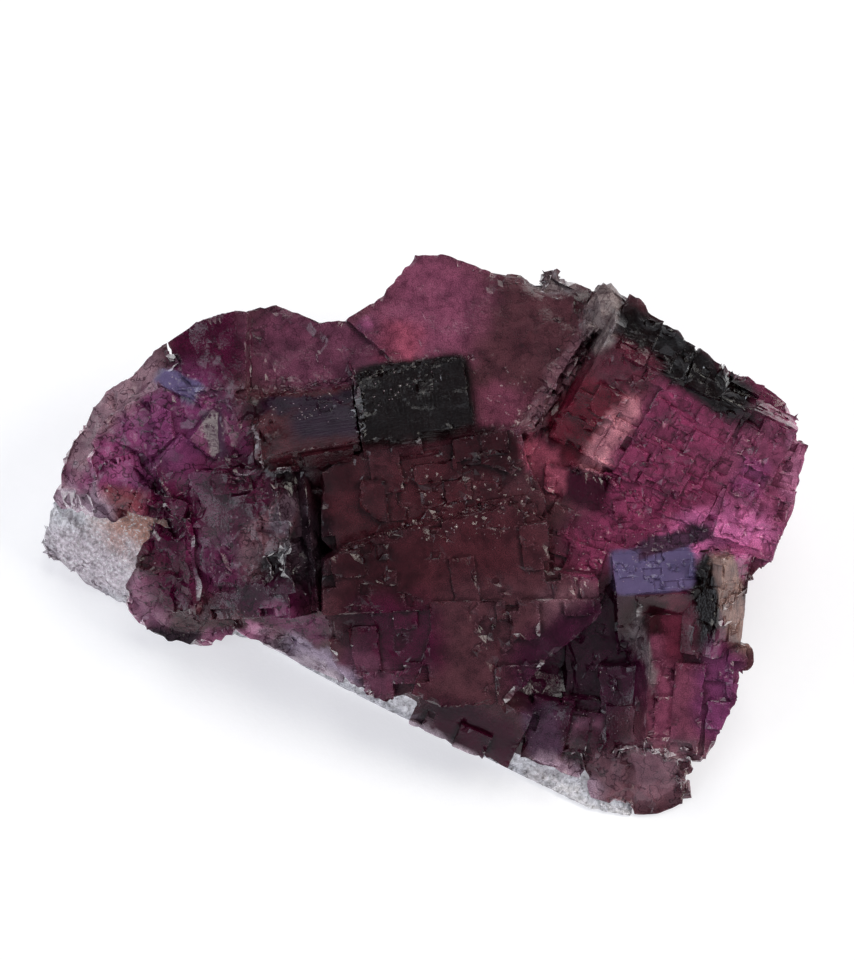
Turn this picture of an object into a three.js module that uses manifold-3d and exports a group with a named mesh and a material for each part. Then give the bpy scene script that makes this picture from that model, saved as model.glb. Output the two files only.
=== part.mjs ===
// Fluorite cube cluster, a hand specimen about 92 mm wide.
// Purple cubes have grown together into one mass, which sits on a colourless base.
// Lengths are in millimetres and angles in degrees. +Z is up, the specimen is longest along X,
// and the crust of crystals leans towards -Y. The origin is the middle of the underside.
import * as THREE from "three";
import { ConvexGeometry } from "three/addons/geometries/ConvexGeometry.js";
import { mergeVertices } from "three/addons/utils/BufferGeometryUtils.js";
import Module from "manifold-3d";

const wasm = await Module();
wasm.setup();

const LEAN = 20; // how far the crust leans to the front from lying flat
const CRUST_HEIGHT = 15; // from the surface the specimen lies on to the middle of the crust
const SEAM = 0.5; // how far the purple mass is cut back from the colourless base
const ROOT = 1.2; // how deep a growth step is rooted in its crystal
const FLOOR_BLOCK = 400; // side of the block that cuts the underside flat

const radians = THREE.MathUtils.degToRad;

// Crust frame: a runs right, b up the leaning crust, c out of it.
const crustFrame = new THREE.Matrix4()
  .makeBasis(
    new THREE.Vector3(1, 0, 0),
    new THREE.Vector3(0, Math.cos(radians(LEAN)), Math.sin(radians(LEAN))),
    new THREE.Vector3(0, -Math.sin(radians(LEAN)), Math.cos(radians(LEAN))),
  )
  .setPosition(0, 0, CRUST_HEIGHT);

// A repeatable random number source, from 0 to 1.
function seeded(seed) {
  let state = seed >>> 0;
  return () => {
    state = (state + 0x6d2b79f5) >>> 0;
    let t = Math.imul(state ^ (state >>> 15), 1 | state);
    t = (t + Math.imul(t ^ (t >>> 7), 61 | t)) ^ t;
    return ((t ^ (t >>> 14)) >>> 0) / 4294967296;
  };
}

function solidOf(geometry) {
  geometry.deleteAttribute("normal");
  geometry.deleteAttribute("uv");
  const merged = mergeVertices(geometry, 1e-4);
  return new wasm.Manifold(
    new wasm.Mesh({
      numProp: 3,
      vertProperties: merged.attributes.position.array,
      triVerts: new Uint32Array(merged.index.array),
    }),
  );
}

const joined = (solids) => solids.reduce((sum, next) => sum.add(next));
const cutBy = (solid, cutters) => cutters.reduce((left, next) => left.subtract(next), solid);

// The largest body alone, without crumbs or inner hollows.
const wholeBody = (solid) =>
  solid.decompose().reduce((best, next) => (next.volume() > best.volume() ? next : best));

// A crystal's frame in the crust: its outer face passes through [a, b, c], turned about the crust's
// normal by roll, then leaned down to the front and turned to the right.
function turnOf({ at, roll = 0, down = 0, right = 0 }) {
  return new THREE.Matrix4()
    .makeRotationZ(radians(roll))
    .multiply(new THREE.Matrix4().makeRotationX(radians(down)))
    .multiply(new THREE.Matrix4().makeRotationY(radians(right)))
    .setPosition(...at);
}

// Outline of a crystal's outer face, in the face. It is given by its size about the middle, or by
// [a, b] points that slide along c until they meet the face.
function faceOutline(turn, { at, size, outline }) {
  if (!outline) {
    const [x, y] = [size[0] / 2, size[1] / 2];
    return [[-x, -y], [x, -y], [x, y], [-x, y]];
  }
  const normal = new THREE.Vector3().setFromMatrixColumn(turn, 2);
  const toFace = turn.clone().invert();
  return outline.map(([a, b]) => {
    const c = at[2] - (normal.x * (a - at[0]) + normal.y * (b - at[1])) / normal.z;
    const point = new THREE.Vector3(a, b, c).applyMatrix4(toFace);
    return [point.x, point.y];
  });
}

// A straight-sided body on an outline, from depth below the face to height above it.
function prism(frame, outline, height, depth) {
  const shape = new THREE.Shape(outline.map(([x, y]) => new THREE.Vector2(x, y)));
  const geometry = new THREE.ExtrudeGeometry(shape, { depth: height + depth, bevelEnabled: false });
  geometry.translate(0, 0, -depth);
  return solidOf(geometry.applyMatrix4(frame));
}

// A block square to the face, centred at (x, y) on it.
function block(frame, x, y, width, length, height, depth) {
  const geometry = new THREE.BoxGeometry(width, length, height + depth);
  geometry.translate(x, y, (height - depth) / 2);
  return solidOf(geometry.applyMatrix4(frame));
}

// Thin square-edged growth steps on a crystal's outer face, flush with its sides where they reach them.
function growthSteps(frame, outline, count, random) {
  const spread = new THREE.Box2().setFromPoints(outline.map(([x, y]) => new THREE.Vector2(x, y)));
  const steps = [];
  for (let i = 0; i < count; i++) {
    const x = THREE.MathUtils.lerp(spread.min.x, spread.max.x, random());
    const y = THREE.MathUtils.lerp(spread.min.y, spread.max.y, random());
    const width = 2.5 + 5 * random();
    const length = 2 + 4.5 * random();
    steps.push(block(frame, x, y, width, length, 0.25 + 0.5 * random(), ROOT));
  }
  return joined(steps).intersect(prism(frame, outline, 2, 2));
}

// Square nicks out of the edges of a crystal's outer face.
function edgeNicks(frame, outline, count, random) {
  const nicks = [];
  for (let i = 0; i < count; i++) {
    const edge = Math.floor(random() * outline.length);
    const from = new THREE.Vector2(...outline[edge]);
    const to = new THREE.Vector2(...outline[(edge + 1) % outline.length]);
    const at = from.lerp(to, random());
    nicks.push(block(frame, at.x, at.y, 1 + 2.5 * random(), 1 + 2 * random(), 3, 0.4 + 0.8 * random()));
  }
  return nicks;
}

function crystal(spec) {
  const { depth = 10, steps = 0, nicks = 0, seed = 1 } = spec;
  const turn = turnOf(spec);
  const frame = crustFrame.clone().multiply(turn);
  const outline = faceOutline(turn, spec);
  const random = seeded(seed);
  let solid = prism(frame, outline, 0, depth);
  if (steps) solid = solid.add(growthSteps(frame, outline, steps, random));
  return cutBy(solid, edgeNicks(frame, outline, nicks, random));
}

// The space above a face, to cut a bevel with.
function spaceAbove(spec, height) {
  const turn = turnOf(spec);
  return prism(crustFrame.clone().multiply(turn), faceOutline(turn, spec), height, 0);
}

// A broken lump with flat fracture faces: the hull of its corners.
const lump = (corners) => solidOf(new ConvexGeometry(corners));

// The same lump, grown by SEAM on all sides.
function grownLump(corners) {
  const grown = [];
  for (const corner of corners)
    for (const axis of [0, 1, 2])
      for (const sign of [-1, 1])
        grown.push(corner.clone().setComponent(axis, corner.getComponent(axis) + sign * SEAM));
  return lump(grown);
}

const inCrust = (points) => points.map((p) => new THREE.Vector3(...p).applyMatrix4(crustFrame));
const upright = (points) => points.map((p) => new THREE.Vector3(...p));

// The crystals, from the back of the crust to the front.
const CRYSTALS = [
  // broad pink face at the back, and chips behind it
  {
    at: [9, 21, 2.2], down: -6, right: -3, depth: 9, nicks: 4, seed: 11,
    outline: [
      [-8.2, 26.2], [-6, 24.5], [-3, 21.5], [-6, 14], [7, 10], [13.8, 13], [17.4, 19.6], [20.6, 24.6],
      [21.6, 27.2], [19.2, 28.9], [12.6, 30.6], [7.9, 32.4],
      [3.6, 34], [0.1, 33.9], [-2.3, 31], [-4.3, 28.6],
    ],
  },
  { at: [17.8, 29.1, 0.2], roll: -24, down: -12, size: [6, 4.2, 0], depth: 7, nicks: 1, seed: 12 },
  { at: [22.9, 26.8, 2.4], roll: -38, down: 4, size: [5, 5, 0], depth: 8, nicks: 1, seed: 13 },
  // right-hand slab, in columns under its ridge
  {
    at: [23.7, 16.6, 5.8], roll: -30, down: 21, right: 8, size: [9, 16, 0],
    depth: 13, steps: 4, nicks: 3, seed: 21,
  },
  {
    at: [31.4, 12, 5.2], roll: -28, down: 21, right: 3, size: [10, 15.2, 0],
    depth: 7.5, steps: 6, nicks: 3, seed: 22,
  },
  {
    at: [38.2, 8.7, 4.4], roll: -25, down: 17, size: [8.6, 14, 0],
    depth: 6, steps: 7, nicks: 4, seed: 23,
  },
  {
    at: [40.9, 5.9, 3.4], roll: -16, down: 7, right: 4, size: [8, 13.4, 0],
    depth: 6.5, steps: 7, nicks: 5, seed: 24,
  },
  {
    at: [29, 1.5, 2.0], roll: -20, down: 8, depth: 9, steps: 8, nicks: 3, seed: 25,
    outline: [
      [15.4, 2], [16, -4], [22, -8], [24.2, -3], [36, -1], [39.5, -5], [42.4, -2.6], [43.6, 2], [41, 5],
      [33, 7], [28, 7], [20, 8.4], [15.6, 9],
    ],
  },
  // cubes of the middle, edge up: one with the bright back face, one with the dark striated one
  {
    at: [-11.8, 7.2, 4.2], roll: 9, down: 46, size: [12.4, 10, 0],
    depth: 13, steps: 2, nicks: 2, seed: 31,
  },
  { at: [0.7, 10.7, 6.1], roll: 9, down: 52, size: [13.2, 6, 0], depth: 13, steps: 2, nicks: 2, seed: 32 },
  // terraces of the middle
  {
    at: [3, 6, 5.4], down: 8, roll: 8, depth: 13, steps: 5, nicks: 3, seed: 33,
    outline: [
      [-10.8, 8], [-6, 10.7], [4.9, 11.9], [12.6, 13.1], [13.2, 9.2],
      [15.4, 5], [15.6, -1], [-8, -3], [-10.8, 0],
    ],
  },
  {
    at: [8.8, 10.4, 6.7], down: 8, roll: 8, depth: 5, steps: 1, nicks: 1, seed: 34,
    outline: [[4.5, 11.8], [12.6, 13.2], [13, 9], [11.4, 7.7], [8, 8.9], [4.6, 8.4]],
  },
  {
    at: [-3.4, 4.6, 5.6], down: 9, roll: 6, depth: 5, steps: 1, nicks: 1, seed: 35,
    outline: [[-6.4, 7.1], [-0.5, 7.3], [-0.7, 2.4], [-3.8, 2.1], [-6.2, 4.2]],
  },
  {
    at: [5, -3, 6.6], down: 6, right: 3, roll: 8, depth: 14, steps: 7, nicks: 4, seed: 36,
    outline: [
      [-8.2, -1], [-1.7, 1.2], [3.1, 2.1], [10.8, 4.2],
      [15.6, 2.4], [16.2, -3.6], [21.5, -4.4], [22, -7.3],
      [12, -7.6], [-10.6, -8.6], [-10.6, -2.4],
    ],
  },
  {
    at: [9, -12, 5.7], down: 8, right: 3, roll: 4, depth: 12, steps: 4, nicks: 2, seed: 37,
    outline: [
      [1.9, -7.2], [22, -6.8], [22.1, -8.6], [16.2, -13.7],
      [10.8, -19.3], [3.1, -19.5], [-0.2, -18.1], [2.1, -10.5],
    ],
  },
  {
    at: [-4, -12, 4.2], down: 10, right: -10, roll: 4, depth: 11, steps: 4, nicks: 2, seed: 38,
    outline: [
      [-10.6, -6], [2.6, -6.6], [2.2, -10.5], [0.2, -18], [-3.5, -19], [-7.6, -17.2], [-9.8, -14.2],
    ],
  },
  {
    at: [6.6, -21.4, 1.6], roll: -24, down: 24, size: [13, 7.6, 0],
    depth: 9, steps: 2, nicks: 1, seed: 39,
  },
  // left-hand cube with the dark right side
  {
    at: [-20.4, -0.4, 4.2], roll: 6, down: 4, right: -24, size: [15.5, 17.5, 0],
    depth: 11, steps: 3, nicks: 4, seed: 41,
  },
  { at: [-28, -2.4, 0.1], roll: 6, down: 4, right: -52, size: [5, 13, 0], depth: 6, nicks: 2, seed: 43 },
  // left-hand mass
  {
    at: [-12, 22, 0.6], down: -6, depth: 8, nicks: 2, seed: 51,
    outline: [
      [-20.8, 26.8], [-20.5, 19], [-18.5, 15], [-3, 16], [-1, 20],
      [-5.5, 25.6], [-8.2, 26.2], [-11.2, 25.6], [-16.5, 28],
    ],
  },
  {
    at: [-25, 21.4, 1.2], down: -8, right: -14, roll: 10, depth: 8, nicks: 2, seed: 52,
    outline: [[-29.6, 23.6], [-29, 20.4], [-25, 17], [-20, 15.6], [-19.8, 26.9], [-21.3, 27.1], [-26, 26]],
  },
  { at: [-27, 18.6, 0.8], roll: -36, down: -24, right: -20, size: [6.4, 3.4, 0], depth: 6 },
  {
    at: [-23.4, 12.9, 2.4], roll: -34, down: -18, right: 20, size: [4, 5.6, 0],
    depth: 6, nicks: 1, seed: 54,
  },
  {
    at: [-28, 9.5, 1.4], down: 2, right: -12, roll: -20, depth: 12, steps: 2, nicks: 3, seed: 53,
    outline: [
      [-36.4, 15], [-30, 18], [-24, 18.4], [-19, 16], [-18, 9],
      [-21, 2], [-26, 1.4], [-31, 2.6], [-37.4, 4.6],
      [-39.4, 10],
    ],
  },
  // right-hand front: the bright-topped cube, its striated neighbour and the column below
  {
    at: [29.2, -9.7, 3.5], roll: 4, down: 42, size: [10.4, 10, 0],
    depth: 10, steps: 1, nicks: 1, seed: 61,
  },
  {
    at: [33.6, -7.6, 6.2], roll: -6, down: 8, right: -35, size: [4.6, 12, 0],
    depth: 6.6, steps: 1, nicks: 1, seed: 62,
  },
  {
    at: [29.6, -17.2, 4.4], roll: -2, down: 6, right: 20, size: [4.6, 17, 0],
    depth: 11, steps: 2, nicks: 2, seed: 63,
  },
  {
    at: [33.5, -19, 3.4], down: 5, roll: -3, depth: 10, steps: 4, nicks: 4, seed: 64,
    outline: [
      [28.6, -13.4], [39.3, -12.6], [39.4, -14.9], [38.5, -15.7],
      [38.1, -19.6], [36.9, -20.8], [35.7, -23.8],
      [34, -26.4], [29, -26.4],
    ],
  },
  { at: [32.2, -20, 4.2], down: 6, roll: -4, size: [3.6, 11, 0], depth: 4, nicks: 1, seed: 65 },
  {
    at: [39.0, -14, 2], roll: -4, depth: 6,
    outline: [[38, -12.3], [39.7, -12.3], [40.2, -12.9], [40.3, -14.8], [39.6, -15.6], [38, -15.6]],
  },
  {
    at: [15.8, -22.8, 0.2], roll: -12, down: 12, right: -14, size: [5, 7.6, 0],
    depth: 8, nicks: 1, seed: 67,
  },
  { at: [20.2, -22.6, -0.6], roll: -6, down: 18, size: [6, 7, 0], depth: 8, steps: 1, nicks: 1, seed: 68 },
  {
    at: [24.6, -20.4, 0.4], roll: 4, down: 8, right: -16, size: [5, 11, 0],
    depth: 8, steps: 1, nicks: 1, seed: 69,
  },
];

// The dark right side of the left-hand cube, a face that slopes steeply to the right.
const DARK_SIDE = { at: [-13.1, -0.4, 3.9], roll: 6, down: 4, right: 48, size: [6.9, 16.6, 0] };
const DARK_SIDE_BLOCK = { ...DARK_SIDE, depth: 8, nicks: 3, seed: 42 };
const DARK_SIDE_HEIGHT = 3; // how far its cutter reaches above it
const DARK_SIDE_CUT = { ...DARK_SIDE, at: [-14.2, -0.4, 5.12], size: [3.6, 16.6, 0] };

// The back of the slab's ridge, bevelled by a face that leans away from the crust.
const RIDGE_BEVEL = { at: [33, 17.9, 7.5], roll: -22, down: -40, right: 4, size: [21, 14, 0] };
const BEVEL_HEIGHT = 12; // how far the bevel's cutter reaches above it

// Blocks that stand on the bevel.
const RIDGE_BLOCKS = [
  {
    at: [26.2, 24.6, 5.2], roll: -26, down: -34, size: [5, 9, 0],
    depth: 5, steps: 1, nicks: 1, seed: 71,
  },
  {
    at: [30.6, 22.6, 5.1], roll: -20, down: -42, size: [4.8, 9, 0],
    depth: 5, steps: 1, nicks: 1, seed: 72,
  },
  {
    at: [35, 20.2, 5.3], roll: -24, down: -38, right: 6, size: [4.6, 8, 0],
    depth: 5, nicks: 1, seed: 73,
  },
  {
    at: [38.9, 17.9, 5.3], roll: -30, down: -44, size: [4, 6.5, 0],
    depth: 5, steps: 1, seed: 74,
  },
];

// The stepped cleavage that ends the ridge at the back, cut square to the crust.
const RIM = {
  at: [40, 32, 12], depth: 30,
  outline: [
    [24.4, 30.3], [27.3, 28.1], [27.9, 27.2], [31.3, 24.7], [31.8, 23.8], [34.8, 21.8], [35.6, 20.9],
    [39.4, 19.3], [40.3, 18.4], [43.3, 17.8], [46, 14.8], [58, 20], [50, 40], [30, 44],
  ],
};

// Tilted facets broken out of the left-hand mass.
const LEFT_FACETS = [
  {
    at: [-32.2, 12.6, 1], down: -13, right: -20, depth: 4,
    outline: [[-36.8, 12.6], [-32.6, 16.9], [-29, 15.2], [-28.6, 12], [-31.8, 9.4]],
  },
  {
    at: [-34.2, 6.8, 0.2], down: 15, right: -16, depth: 4,
    outline: [[-38, 9.2], [-33.4, 10], [-31, 7.4], [-31.6, 4], [-36.6, 4.4]],
  },
  {
    at: [-26.6, 7.2, 2.2], down: 12, right: 13, depth: 4,
    outline: [[-31, 8.6], [-27.4, 12.2], [-23.8, 9.8], [-22.6, 5.2], [-27.6, 3]],
  },
];

// The rounded grey knob at the ridge's upper end, in the crust's frame: [a, b, c].
const KNOB = [
  [20.8, 27.4, 0.4], [21.4, 30.1, 0.4], [23.4, 30.5, 0.2], [25.6, 28.5, 0.6], [25.4, 26, 1.8],
  [23.2, 24.6, 3.2], [21.2, 25.2, 3], [21.8, 28.8, 2.8], [23.4, 29.2, 2.6], [24.6, 27.8, 3.1],
  [23.7, 26.4, 4], [22.1, 26.8, 4.1], [23, 27, -4],
];

// The broken purple mass behind and between the cubes.
const PURPLE_LUMPS = [
  // pale slope at the far left
  [
    [-43.3, 8.6, -5], [-41.8, 12.2, -5], [-39.2, 13.7, -4.6], [-36.2, 18.5, -4.4], [-31.4, 23.2, -3.6],
    [-29.6, 23.8, -3.2], [-28, 20, 0], [-36, 12, -0.6], [-40, 6, -3], [-43.2, 4.4, -6], [-36, 2, -3],
    [-38, 10, -12], [-28, 18, -14], [-34, 0, -12], [-22, 4, -14],
  ],
  // lobes at the left-hand front
  [
    [-35.4, -7.8, -6.5], [-33.2, -11.3, -8], [-30.2, -12.9, -9], [-25.5, -13.6, -9.4], [-21.3, -11.9, -8],
    [-31, 2, 0.4], [-22, -4, 0.6], [-33, -2, -1.6], [-32.6, -6.4, -3.6], [-27, -9.5, -4], [-20, 0, -9],
  ],
  [
    [-22, -11.8, -7.2], [-14, -14.6, -7.6], [-8.5, -17.4, -6.8], [-24, -3, 0], [-10, -4, 2], [-9.4, -9, 1],
    [-19, -7.6, -2.4], [-13, -9.4, -1.6], [-16, 2, -10],
  ],
  // back left
  [
    [-29.6, 23.8, -3.4], [-26, 26, -3.6], [-21.3, 27, -3],
    [-16.5, 27.9, -2.4], [-11.4, 25.4, -2], [-5, 24, -1.4],
    [-20, 18, -0.4], [-8, 14, -0.6], [-22, 10, -0.6], [-24, 20, -13], [-8, 20, -15], [-12, 8, -14],
  ],
  // back middle
  [
    [-4, 27, -1], [-2.3, 30.4, -0.2], [0.1, 33.4, 0], [7.6, 31.8, 0], [19, 28.4, 0],
    [22.6, 29.8, -2], [15.6, 31, -2.4], [-8, 12, 0], [14, 10, 2],
    [4, 30, -11], [-6, 18, -15], [16, 24, -13],
    [8, 10, -15],
  ],
  // middle
  [
    [20, 27, -1], [22, 12, 2], [23, -2, 0.6], [17, -17, -3],
    [-12, 8, 0], [-12, -8, -1], [0, -16, -1], [20, 22, -12],
    [20, -8, -9], [-6, -12, -11], [-8, 14, -15], [6, -14, -12],
  ],
  // right
  [
    [22.7, 30.2, -1.6], [25.1, 29.2, -1.8], [29.3, 26.2, -1.6], [34, 22, -1.6], [39.4, 18.6, -1.4],
    [44.8, 16.2, -2.4], [46.2, 11.9, -2.6], [45.4, 8.3, -2.4], [45.6, 3.6, -3], [42.4, -2.2, -3.4],
    [22, 10, 1], [24, -3, -1], [39, 2, 0], [24, 22, -12], [38, 12, -9], [40, 2, -9], [24, -6, -10],
  ],
  // right-hand front
  [
    [39.3, -5, -3], [37.8, -19.4, -3], [34.4, -26, -4.6], [22, -5, 0], [18, -12, -1.6], [18, -24, -3],
    [33, -22, -1], [36, -4, -11], [18, -10, -11], [30, -26, -9], [16, -22, -9],
  ],
  // pale lobe at the front
  [
    [21.4, -31.2, -3.4], [25, -33.1, -3.4], [28.7, -33.2, -3.4], [32.4, -31.9, -3.6], [33.6, -27.8, -4],
    [19, -24.4, -1.6], [31.6, -24.4, 0.6], [26.4, -27.4, -1.2], [20, -24, -9], [30, -24, -9],
  ],
  // front edge
  [
    [-2, -18.6, -4.8], [3.5, -21.8, -4.8], [10.4, -24.8, -4.4],
    [16, -27.2, -3.8], [20, -29, -3.6], [21, -24, -1.4],
    [0, -16, 0], [14, -20, -1], [18, -15, -3.4], [-2, -12, 0], [12, -14, -10], [0, -10, -10],
  ],
];

// The colourless base where it shows round the edge of the crust, in the crust frame.
const BASE_EDGE_LUMPS = [
  // frosted corner at the left
  [
    [-46, -0.8, -10.5], [-44.8, 3.6, -9], [-42.6, 5.2, -6], [-45, -2.8, -12], [-40.4, -5.8, -13.2],
    [-35.8, -8.2, -12.4], [-33, -8, -10], [-31, 5, -3.6], [-30.5, -3, -4.6], [-38, 4.6, -4],
    [-30, 0, -22], [-42, 2, -22], [-34, 10, -24],
  ],
  // long strip under the front edge
  [
    [-18, -13.2, -9.4], [-12.4, -16.2, -9], [-7.6, -18.7, -8.5], [-1.7, -21.2, -7.8], [3, -23.8, -7],
    [-20, -8, -9], [4, -16, -6], [-20, -12, -14], [-6, -18, -12], [4, -22, -10], [-14, 4, -20],
    [6, 2, -18],
  ],
  [
    [0, -22.2, -7.2], [10.2, -27.1, -5.3], [15, -29.5, -4.6], [21, -32.3, -3.7], [26, -33.4, -3.4],
    [22, -24, -4.2], [4, -14, -7], [0, -20, -11], [14, -28, -9],
    [28, -28, -8], [26, -10, -14], [6, -4, -16],
  ],
];

// The colourless base underneath, upright: [x, y, z].
const BASE_FOOT_LUMPS = [
  [
    [-34, -4, 4], [-36, 4, 7], [-30, 10, 9], [-22, -6.4, 2], [-38, 2, -2], [-28, -7, -2], [-12, -9.6, -2],
    [-20, 12, -2], [-6, 10, -2], [-16, 16, 9], [-4, 4, 7],
  ],
  [
    [-18, 12, 4], [-12, 19, 9], [2, 22, 11], [14, 19, 10], [20, 10, 8], [-16, 4, -2], [-10, 15, -2],
    [4, 17, -2], [14, 13, -2], [18, 0, -2], [0, -10, -2], [-4, 0, 8],
  ],
  [
    [8, -12, 4], [24, -16, 3], [30, -8, 4], [28, 4, 7], [14, 12, 8], [4, -16, -2], [22, -22, -2],
    [27, -8, -2], [22, 6, -2], [8, 8, -2],
  ],
];

// Shallow hollows broken out of the underside, so that it rests on pads between them: [x, y, z].
const UNDERSIDE_HOLLOWS = [
  [
    [-31, 1, -1], [-24, -4, -1], [-14, -6, -1], [-9, 3, -1], [-15, 10, -1], [-26, 7, -1], [-20, 2, 2.4],
    [-24, 1, 1.8],
  ],
  [
    [9, -7, -1], [16, -15, -1], [23, -13, -1], [22, 1, -1], [12, 7, -1], [15, -5, 2.2], [19, -9, 1.6],
  ],
  [[-6, 12, -1], [2, 8.5, -1], [9, 11, -1], [4, 15.5, -1], [0, 12, 1.2]],
  [[-3, -9, -1], [5, -16, -1], [15, -23, -1], [5, -7, -1], [6, -13, 1.4]],
];

const floorBlock = solidOf(
  new THREE.BoxGeometry(FLOOR_BLOCK, FLOOR_BLOCK, FLOOR_BLOCK).translate(0, 0, -FLOOR_BLOCK / 2),
);

const baseLumps = [...BASE_EDGE_LUMPS.map(inCrust), ...BASE_FOOT_LUMPS.map(upright)];
const hollows = UNDERSIDE_HOLLOWS.map(upright).map(lump);
const base = wholeBody(cutBy(joined(baseLumps.map(lump)), [floorBlock, ...hollows]));
const purple = wholeBody(
  joined([...PURPLE_LUMPS.map(inCrust).map(lump), ...[...CRYSTALS, ...LEFT_FACETS].map(crystal)])
    .subtract(spaceAbove(RIDGE_BEVEL, BEVEL_HEIGHT))
    .subtract(spaceAbove(DARK_SIDE_CUT, DARK_SIDE_HEIGHT))
    .add(joined([...RIDGE_BLOCKS.map(crystal), crystal(DARK_SIDE_BLOCK), lump(inCrust(KNOB))]))
    .subtract(crystal(RIM))
    .subtract(joined(baseLumps.map(grownLump)))
    .subtract(floorBlock),
);

function meshOf(solid, name, material) {
  const data = solid.getMesh();
  const positions = new Float32Array(data.numVert * 3);
  for (let i = 0; i < data.numVert; i++)
    positions.set(data.vertProperties.subarray(i * data.numProp, i * data.numProp + 3), i * 3);
  const geometry = new THREE.BufferGeometry()
    .setAttribute("position", new THREE.BufferAttribute(positions, 3))
    .setIndex(new THREE.BufferAttribute(data.triVerts, 1));
  geometry.computeVertexNormals();
  const mesh = new THREE.Mesh(geometry, material);
  mesh.name = name;
  return mesh;
}

const purpleFluorite = new THREE.MeshStandardMaterial({ color: 0x5a2748, roughness: 0.25, metalness: 0 });
const clearFluorite = new THREE.MeshStandardMaterial({ color: 0xd5d3d4, roughness: 0.4, metalness: 0 });

const cluster = new THREE.Group();
cluster.name = "fluorite_cube_cluster";
cluster.add(meshOf(purple, "purple_cubes", purpleFluorite));
cluster.add(meshOf(base, "colourless_base", clearFluorite));

// The origin goes to the middle of the underside.
const box = new THREE.Box3().setFromObject(cluster);
const middle = box.getCenter(new THREE.Vector3());
cluster.position.set(-middle.x, -middle.y, -box.min.z);

export default cluster;
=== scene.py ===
"""Dresses the fluorite cube cluster: growth steps, fractures, colour zones and soft studio light."""

import math
import random
from collections import namedtuple

import bmesh
import bpy
import numpy as np
from mathutils import Matrix, Vector, noise
from mathutils.bvhtree import BVHTree


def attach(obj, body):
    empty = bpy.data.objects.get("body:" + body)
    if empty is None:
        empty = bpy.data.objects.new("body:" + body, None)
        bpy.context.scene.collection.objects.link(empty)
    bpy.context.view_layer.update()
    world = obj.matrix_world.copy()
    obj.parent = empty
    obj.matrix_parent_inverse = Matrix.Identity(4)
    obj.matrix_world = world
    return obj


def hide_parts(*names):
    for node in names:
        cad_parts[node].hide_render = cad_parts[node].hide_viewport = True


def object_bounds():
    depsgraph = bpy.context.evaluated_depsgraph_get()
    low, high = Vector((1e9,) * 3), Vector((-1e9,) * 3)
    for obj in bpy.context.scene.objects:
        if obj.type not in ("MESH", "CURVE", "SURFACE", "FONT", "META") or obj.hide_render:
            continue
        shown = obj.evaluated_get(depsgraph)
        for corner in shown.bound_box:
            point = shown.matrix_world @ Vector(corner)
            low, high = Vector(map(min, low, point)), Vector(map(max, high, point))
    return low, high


MM = 0.001
LEAN = math.radians(20)  # how far the crust of crystals leans to the front
CRUST_MIDDLE = Vector((-0.29, -1.86, 15)) * MM  # where the crust frame lies in the row frame
CRUST = Matrix.Translation(CRUST_MIDDLE) @ Matrix.Rotation(LEAN, 4, "X")
TO_CRUST = CRUST.inverted()
OUTWARD = (CRUST.to_3x3() @ Vector((0, 0, 1))).normalized()

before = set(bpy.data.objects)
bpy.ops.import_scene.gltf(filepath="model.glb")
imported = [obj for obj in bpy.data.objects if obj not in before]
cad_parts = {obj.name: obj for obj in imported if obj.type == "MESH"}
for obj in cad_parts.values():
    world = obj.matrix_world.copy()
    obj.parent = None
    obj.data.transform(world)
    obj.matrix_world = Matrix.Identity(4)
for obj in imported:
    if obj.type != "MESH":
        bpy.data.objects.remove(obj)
cad_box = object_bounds()


def srgb(r, g, b):
    """A colour given as it shows on a screen, 0 to 255."""
    return tuple((v / 255 / 12.92) if v <= 10 else (((v / 255) + 0.055) / 1.055) ** 2.4 for v in (r, g, b))


def smoothstep(low, high, x):
    """0 below low, 1 above high and a smooth rise between them."""
    t = min(max((x - low) / (high - low), 0), 1)
    return t * t * (3 - 2 * t)


# ---------------------------------------------------------------- zones of the crust
# Each zone is a rounded box seen square on to the crust: name, middle and half widths in mm, turn in
# degrees, how soft its edge is, and what it holds. Where zones overlap, the later one lies on top.

COLOURS = {
    "near black": srgb(16, 5, 6),
    "black plum": srgb(34, 14, 24),
    "ink violet": srgb(41, 20, 40),
    "deep wine": srgb(58, 6, 32),
    "dark brown": srgb(54, 20, 28),
    "dark purple": srgb(62, 17, 44),
    "mulberry": srgb(73, 16, 46),
    "brown red": srgb(73, 32, 40),
    "crimson wine": srgb(88, 16, 56),
    "raspberry": srgb(100, 26, 44),
    "grey plum": srgb(60, 46, 55),
    "dusty brown": srgb(86, 50, 58),
    "dusky violet": srgb(79, 50, 73),
    "wine red": srgb(100, 39, 58),
    "violet purple": srgb(97, 39, 73),
    "brown pink": srgb(105, 58, 80),
    "cool grey": srgb(96, 78, 90),
    "dusty pink": srgb(122, 64, 86),
    "rosy pink": srgb(132, 72, 98),
    "plum": srgb(115, 52, 88),
    "bright plum": srgb(124, 60, 104),
    "magenta": srgb(139, 56, 93),
    "dull magenta": srgb(138, 69, 100),
    "terracotta": srgb(141, 74, 82),
    "rosy grey": srgb(124, 86, 96),
    "warm silver": srgb(121, 108, 111),
    "steel violet": srgb(107, 95, 136),
    "pink magenta": srgb(165, 82, 105),
    "violet pink": srgb(158, 76, 124),
    "bright silver": srgb(136, 125, 123),
    "rose beige": srgb(156, 124, 135),
    "beige": srgb(156, 125, 116),
    "rose": srgb(165, 113, 140),
    "lilac rose": srgb(186, 118, 152),
    "peach": srgb(218, 146, 158),
    "tan": srgb(196, 140, 124),
    "hot pink": srgb(232, 132, 190),
    "petal": srgb(200, 130, 164),
    "pale mauve": srgb(183, 156, 172),
    "mauve lilac": srgb(178, 162, 182),
    "pale blush": srgb(210, 196, 205),
    "white": srgb(239, 236, 241),
}

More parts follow.
